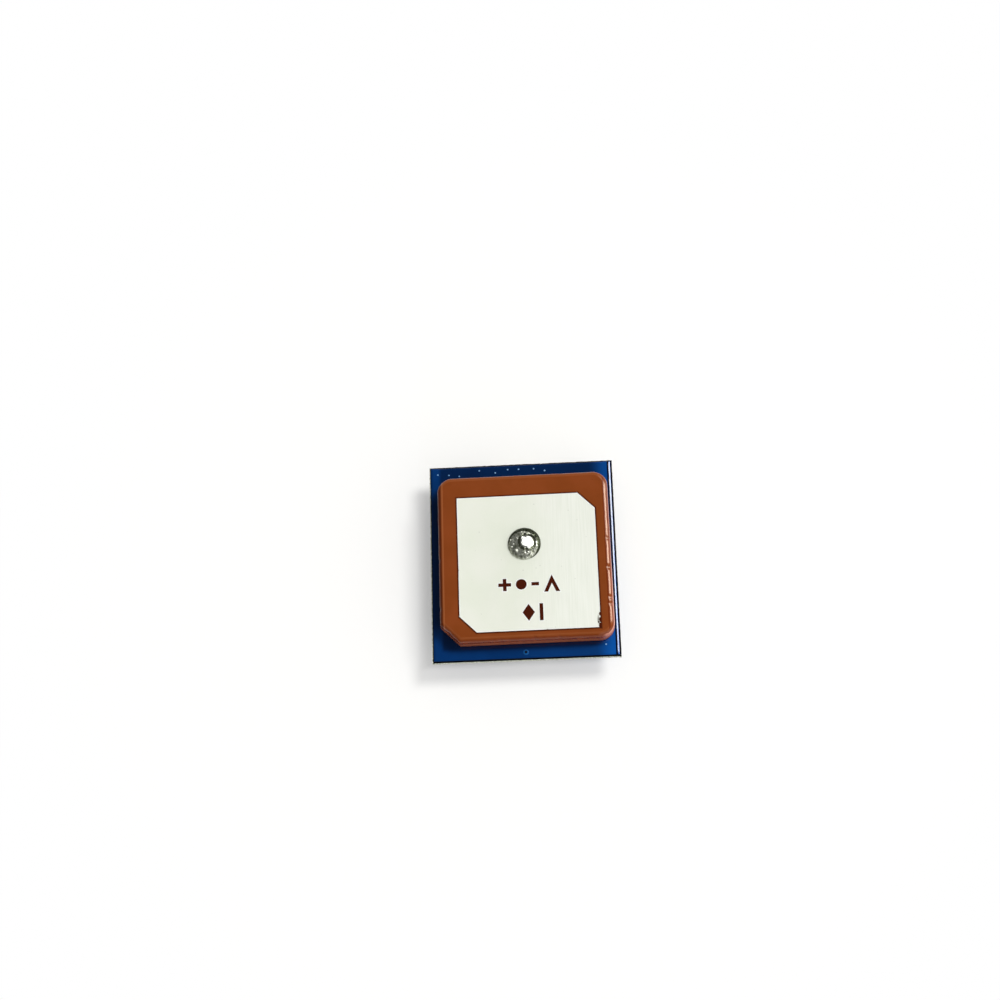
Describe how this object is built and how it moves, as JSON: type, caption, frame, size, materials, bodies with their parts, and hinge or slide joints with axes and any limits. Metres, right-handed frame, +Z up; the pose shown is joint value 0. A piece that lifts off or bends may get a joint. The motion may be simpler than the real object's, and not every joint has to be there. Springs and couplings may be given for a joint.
{
  "type": "gps module",
  "caption": "Satellite positioning module: ceramic patch antenna on a small circuit board, with receiver electronics and a wire-to-board socket underneath.",
  "frame": {"origin": "centre of the board's outline, on the surface that the module stands on", "axes": "+Z up out of the antenna, +Y out of the socket's mouth, +X to the right seen from above"},
  "size_m": [0.02, 0.022, 0.0069],
  "materials": {
    "solder_mask": "blue solder mask",
    "fired_ceramic": "smooth brown",
    "fired_silver": "matte",
    "tape": "matte white",
    "solder": "bright",
    "tinned_metal": "tinned",
    "socket_plastic": "natural white nylon",
    "steel": "satin",
    "chip_epoxy": "matte black",
    "package_lid": "gold-tinted lid",
    "capacitor_ceramic": "beige with tinned ends",
    "resistor_glaze": "black glaze with tinned ends",
    "inductor_ceramic": "white with tinned ends",
    "ferrite": "dark grey with tinned ends",
    "led_resin": "clear resin on a white base"
  },
  "bodies": {
    "root": {"circuit_board": "solder_mask", "antenna_tape": "tape", "antenna_ceramic": "fired_ceramic", "antenna_top_electrode": "fired_silver", "antenna_ground_electrode": "fired_silver", "feed_pin": "tinned_metal", "feed_solder_top": "solder", "feed_solder_bottom": "solder", "receiver_chip": "chip_epoxy", "flash_memory_chip": "chip_epoxy", "amplifier_chip": "chip_epoxy", "voltage_regulator": "chip_epoxy", "oscillator": "package_lid", "clock_crystal": "package_lid", "saw_filter": "package_lid", "backup_cell": "steel", "cell_tab_upper": "steel", "cell_tab_lower": "steel", "connector_housing": "socket_plastic", "connector_contact_1": "tinned_metal", "connector_contact_2": "tinned_metal", "connector_contact_3": "tinned_metal", "connector_contact_4": "tinned_metal", "connector_anchor_left": "tinned_metal", "connector_anchor_right": "tinned_metal", "status_led_red": "led_resin", "status_led_blue": "led_resin", "capacitor_1": "capacitor_ceramic", "capacitor_2": "capacitor_ceramic", "capacitor_3": "capacitor_ceramic", "capacitor_4": "capacitor_ceramic", "capacitor_5": "capacitor_ceramic", "capacitor_6": "capacitor_ceramic", "capacitor_7": "capacitor_ceramic", "capacitor_8": "capacitor_ceramic", "capacitor_9": "capacitor_ceramic", "capacitor_10": "capacitor_ceramic", "resistor_1": "resistor_glaze", "resistor_2": "resistor_glaze", "resistor_3": "resistor_glaze", "resistor_4": "resistor_glaze", "resistor_5": "resistor_glaze", "resistor_6": "resistor_glaze", "inductor_1": "inductor_ceramic", "inductor_2": "inductor_ceramic", "ferrite_bead": "ferrite"}
  },
  "joints": []
}
